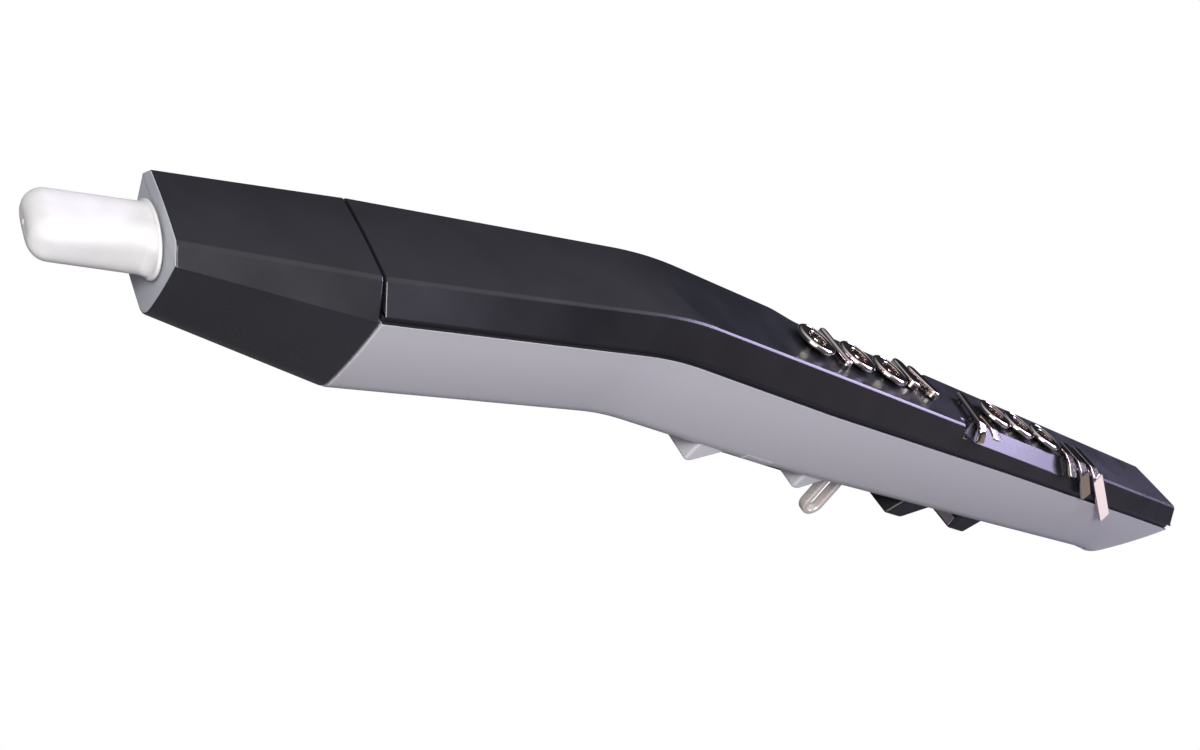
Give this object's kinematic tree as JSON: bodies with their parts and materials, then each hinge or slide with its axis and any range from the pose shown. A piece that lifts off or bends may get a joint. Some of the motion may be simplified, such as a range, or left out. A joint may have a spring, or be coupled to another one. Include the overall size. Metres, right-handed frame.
{
  "type": "digital wind controller",
  "caption": "Handheld electronic wind instrument with a soft mouthpiece, a long slim body, chrome touch keys and octave rollers",
  "frame": {"origin": "middle of the whole instrument's box", "axes": "+Y from the mouthpiece to the far end, +Z out of the key face, +X to the side of the player's right hand"},
  "size_m": [0.0596, 0.5816, 0.0784],
  "materials": {
    "black_case": "satin black moulded shell",
    "grey_case": "silver grey paint on a moulded shell",
    "silicone": "soft white silicone",
    "chrome": "polished plating",
    "steel": "plain steel",
    "board": "coated glass fibre board",
    "black_plastic": "fine grained black plastic",
    "tube": "clear flexible tube"
  },
  "bodies": {
    "instrument": {"mouthpiece_stem": "black_plastic", "stem_nut": "steel", "bite_sensor": "steel", "head_shell": "black_case", "upper_case": "black_case", "lower_case": "grey_case", "lh_ring_key_1": "chrome", "lh_ring_key_2": "chrome", "lh_ring_key_3": "chrome", "rh_ring_key_1": "chrome", "rh_ring_key_2": "chrome", "rh_ring_key_3": "chrome", "lh_bis_key": "chrome", "lh_little_key_1": "chrome", "lh_little_key_2": "chrome", "rh_side_key_1": "chrome", "rh_side_key_2": "chrome", "rh_little_key_1": "chrome", "rh_little_key_2": "chrome", "rh_little_key_3": "chrome", "roller_cradle": "black_plastic", "roller_axle_1": "steel", "roller_axle_2": "steel", "roller_axle_3": "steel", "roller_axle_4": "steel", "roller_axle_5": "steel", "glide_plate": "chrome", "left_thumb_ground_plate": "chrome", "thumb_rest_front": "black_plastic", "thumb_rest_rear": "black_plastic", "bend_plate_up": "chrome", "bend_plate_down": "chrome", "strap_ring": "chrome", "usb_socket": "steel", "main_board": "board", "key_board": "board", "sensor_board": "board", "breath_sensor": "black_plastic", "breath_tube": "tube", "case_screw_1": "steel", "case_screw_2": "steel", "case_screw_3": "steel", "case_screw_4": "steel", "case_screw_5": "steel", "case_screw_6": "steel", "head_screw_1": "steel", "head_screw_2": "steel", "key_board_screw_1": "steel", "key_board_screw_2": "steel", "sensor_board_screw_1": "steel", "sensor_board_screw_2": "steel", "main_board_screw_1": "steel", "main_board_screw_2": "steel"},
    "roller_1": {"octave_roller_1": "chrome"},
    "roller_2": {"octave_roller_2": "chrome"},
    "roller_3": {"octave_roller_3": "chrome"},
    "roller_4": {"octave_roller_4": "chrome"},
    "roller_5": {"octave_roller_5": "chrome"},
    "mouthpiece": {"mouthpiece": "silicone"}
  },
  "joints": [
    {"name": "mouthpiece_pull", "type": "slide", "parent": "instrument", "child": "mouthpiece", "axis": [0, -0.9799, -0.1994], "range_m": [0, 0.025]},
    {"name": "octave_roller_1_turn", "type": "hinge", "parent": "instrument", "child": "roller_1", "pos_m": [0, -0.00808, -0.0168], "axis": [1, 0, 0], "continuous": true},
    {"name": "octave_roller_2_turn", "type": "hinge", "parent": "instrument", "child": "roller_2", "pos_m": [0, -0.00168, -0.0168], "axis": [1, 0, 0], "continuous": true},
    {"name": "octave_roller_3_turn", "type": "hinge", "parent": "instrument", "child": "roller_3", "pos_m": [0, 0.00472, -0.0168], "axis": [1, 0, 0], "continuous": true},
    {"name": "octave_roller_4_turn", "type": "hinge", "parent": "instrument", "child": "roller_4", "pos_m": [0, 0.01112, -0.0168], "axis": [1, 0, 0], "continuous": true},
    {"name": "octave_roller_5_turn", "type": "hinge", "parent": "instrument", "child": "roller_5", "pos_m": [0, 0.01752, -0.0168], "axis": [1, 0, 0], "continuous": true}
  ]
}
